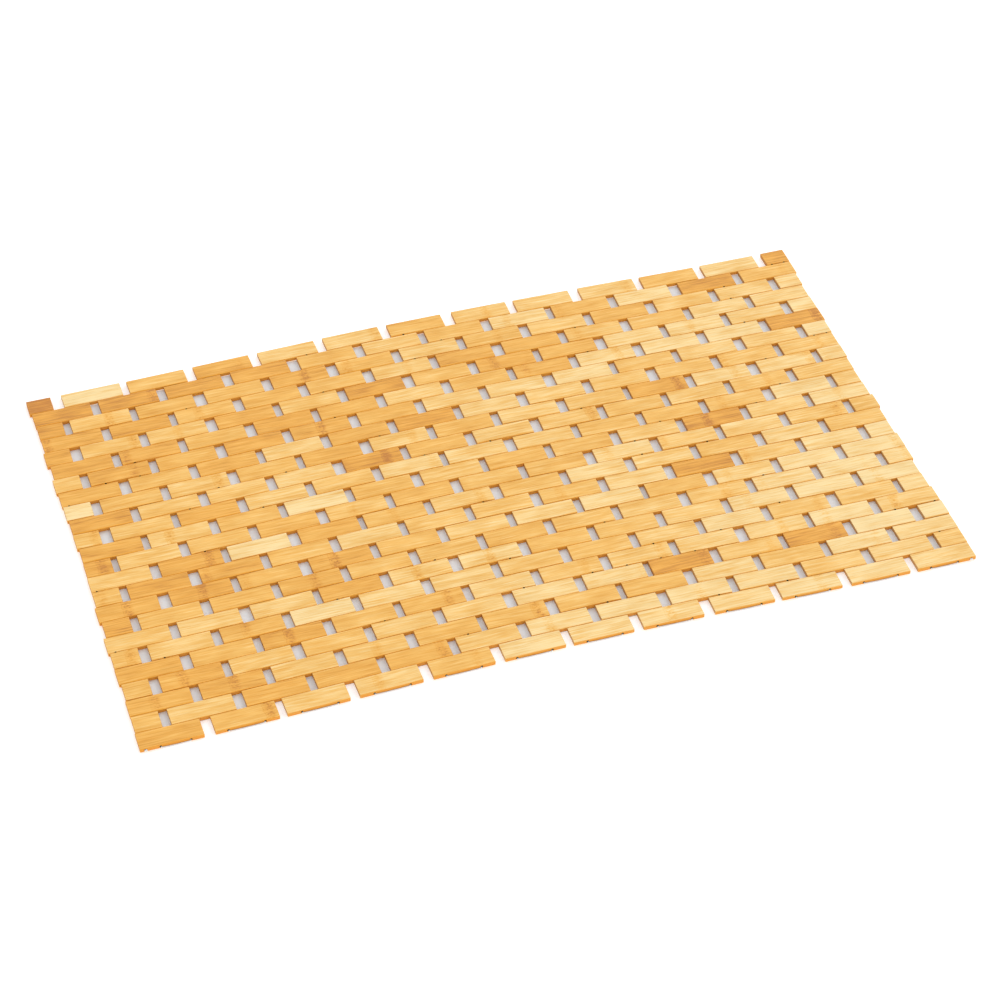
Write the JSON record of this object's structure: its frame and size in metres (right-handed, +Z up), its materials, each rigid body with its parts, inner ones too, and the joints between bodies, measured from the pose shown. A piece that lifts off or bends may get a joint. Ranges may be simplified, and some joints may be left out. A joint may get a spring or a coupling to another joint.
{
  "type": "bamboo slat mat",
  "caption": "Flat bamboo bath mat of short rectangular slats in a staggered brick pattern, threaded crosswise on a thin cord that loops along both long edges.",
  "frame": {"origin": "on the floor below the middle of the mat's own box", "axes": "+X along the long side and the slats, +Y across the rows away from the near edge, +Z up from the floor through the mat"},
  "size_m": [0.812, 0.512, 0.0045],
  "materials": {
    "bamboo": "smooth bamboo under thin clear satin varnish, each slat of its own tone from pale straw to brown",
    "cord": "white elastic cord, matt"
  },
  "bodies": {
    "root": {"slats": "bamboo", "cord": "cord"}
  },
  "joints": []
}
